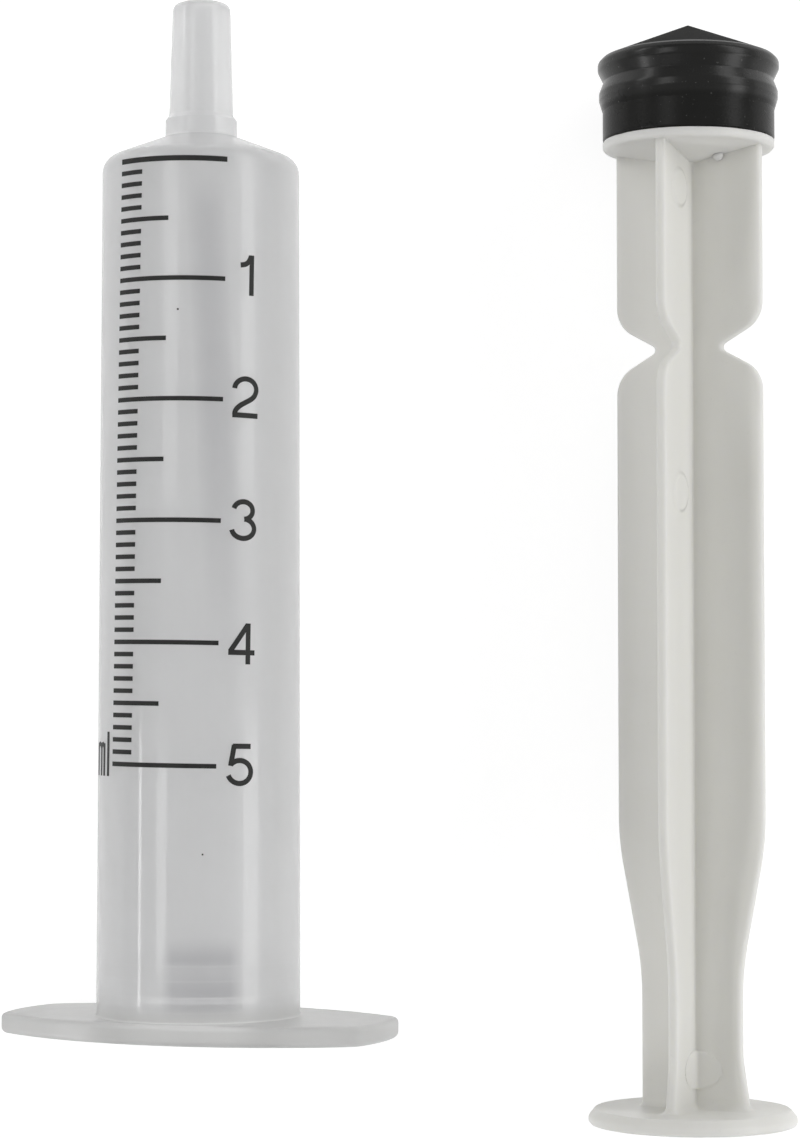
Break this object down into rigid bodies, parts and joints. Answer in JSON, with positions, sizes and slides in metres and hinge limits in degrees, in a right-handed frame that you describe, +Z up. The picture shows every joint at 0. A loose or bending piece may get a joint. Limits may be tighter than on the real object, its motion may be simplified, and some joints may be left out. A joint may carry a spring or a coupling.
{
  "type": "disposable syringe",
  "caption": "Disposable syringe taken apart: translucent barrel with slip nozzle and finger flange, beside its cross-ribbed plunger rod with a hollow rubber stopper.",
  "frame": {"origin": "on the surface that the pieces lie on, under the centre of their common box", "axes": "+Y along barrel and plunger towards nozzle and stopper, +X from the barrel to the plunger, +Z up"},
  "size_m": [0.055, 0.0778, 0.0178],
  "materials": {
    "clear_plastic": "translucent, smooth moulded",
    "white_plastic": "satin moulded",
    "black_rubber": "soft sheen"
  },
  "bodies": {
    "barrel": {"barrel": "clear_plastic"},
    "stopper": {"stopper": "black_rubber"},
    "rod": {"plunger_rod": "white_plastic"}
  },
  "joints": [
    {"name": "plunger_slide", "type": "slide", "parent": "barrel", "child": "stopper", "axis": [0, 1, 0], "range_m": [-0.0492, 0]},
    {"name": "rod_turn", "type": "hinge", "parent": "stopper", "child": "rod", "pos_m": [0.02032, 0, 0.0072], "axis": [0, 1, 0], "continuous": true}
  ]
}
